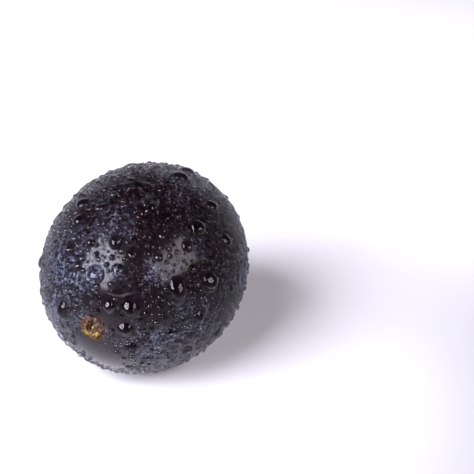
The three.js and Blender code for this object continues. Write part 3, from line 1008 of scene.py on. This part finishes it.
fibres = joined_copies("scar_fibres", unit_shred, shred_faces, shreds, shred_points)
yellows, outers = ([one[key] for one in shreds] for key in ("yellow", "outer"))
colour_torn(fibres, np.repeat(yellows, len(unit_shred)), np.repeat(outers, len(unit_shred)), 0)
from_middle = np.hypot(local[:, 0], local[:, 1])
colour_torn(
    collar,
    yellow=np.clip(tuft_amount(local[:, 0], local[:, 1]) * 0.9, 0, 1),
    outer=np.clip((from_middle - 1.0) / 0.3, 0, 1),
    pit=np.clip(1.25 - from_middle / 0.62, 0, 1),
)

# %% The strand's stub and the dry tip
STRAND_PROFILE = [(0.15, -0.62), (0.17, -0.2), (0.175, 0.0), (0.15, 0.08), (0.09, 0.12), (0.02, 0.13)]
STRAND_OFFSET = [0.13, -0.03, 0]
strand = ring_stack("scar_strand", 20, STRAND_PROFILE)
local = roughened(coordinates(strand.data), 9, 0.035, 6.0) + STRAND_OFFSET
move_points(strand.data, at_stalk_end(local))
strand.data.shade_smooth()
colour_torn(strand, yellow=1, outer=0, pit=0)

TIP_WIDER, TIP_PROUD = 1.25, 0.09
TIP_PROFILE = [
    (0.42, -0.3), (0.5, -0.06), (0.48, 0.0), (0.36, 0.04), (0.26, 0.05), (0.2, 0.12), (0.13, 0.17),
    (0.03, 0.18),
]
tip = ring_stack("tip_stub", 40, TIP_PROFILE)
local = roughened(coordinates(tip.data) * [TIP_WIDER, TIP_WIDER, 1], 3, 0.05, 4.0)
lengthwise = TIP_PLACE[1] - TIP_HEIGHT + TIP_PROUD + local[:, 2]
move_points(tip.data, np.stack([-local[:, 0], lengthwise, local[:, 1] + CENTRE[2]], axis=1))
tip.data.shade_smooth()
colour_torn(tip, yellow=0.1, outer=0.8, pit=0)
print("tip stub has", len(tip.data.polygons), "faces")

# %% [markdown]
# ## Torn, corky fibre
# All four torn pieces share one finish. It is brown and speckled, turns to yellow and olive where
# a tuft is, to dull purple near the skin, and to near black down in the pit. The pieces say by
# their attributes which is where.

# %% Torn fibre
CORK_DARK, CORK_BROWN = (0.010, 0.004, 0.003), (0.130, 0.054, 0.024)
CORK_PURPLE, PIT_BLACK = (0.026, 0.011, 0.013), (0.004, 0.0025, 0.002)
FIBRE_YELLOW, FIBRE_OLIVE = (0.56, 0.36, 0.050), (0.13, 0.095, 0.022)
FLECK_PALE = (0.29, 0.195, 0.13)
scar_finish, nodes, links, shader = new_material("stalk_scar_finish")
where = object_millimetres(nodes, links)
speckle = noise_of(nodes, links, where, 3.2, 3, 0.4, 0.6)
patches = noise_of(nodes, links, where, 2.1, 2, 0.5)
brown = mix_colours(nodes, links, remap(nodes, links, speckle, 0.38, 0.62), CORK_DARK, CORK_BROWN)
golden = mix_colours(nodes, links, remap(nodes, links, patches, 0.38, 0.52), FIBRE_OLIVE, FIBRE_YELLOW)
uneven = remap(nodes, links, speckle, 0.35, 0.65, -0.4, 0.4)
yellowness = calculate(nodes, links, "ADD", attribute_of(nodes, "yellow"), uneven)
golden_brown = mix_colours(nodes, links, remap(nodes, links, yellowness, 0.45, 0.85), brown, golden)
patchily = remap(nodes, links, patches, 0.42, 0.58, 1.0, 0.45)
purpled = calculate(nodes, links, "MULTIPLY", attribute_of(nodes, "outer"), patchily)
outer_brown = mix_colours(nodes, links, purpled, golden_brown, CORK_PURPLE)
flecks = remap(nodes, links, noise_of(nodes, links, where, 6.0, 1), 0.56, 0.64, 0.0, 0.8)
coloured = mix_colours(nodes, links, flecks, outer_brown, FLECK_PALE)
shaded = mix_colours(nodes, links, attribute_of(nodes, "pit"), coloured, PIT_BLACK)
links.new(shaded, shader.inputs["Base Color"])
shader.inputs["Roughness"].default_value = 0.6
shader.inputs["Specular IOR Level"].default_value = 0.25
links.new(bump_of(nodes, links, speckle, 0.6, 0.04).outputs["Normal"], shader.inputs["Normal"])
for piece in (collar, fibres, strand, tip):
    piece.data.materials.append(scar_finish)
    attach(piece, "root")
print("torn fibre finished")
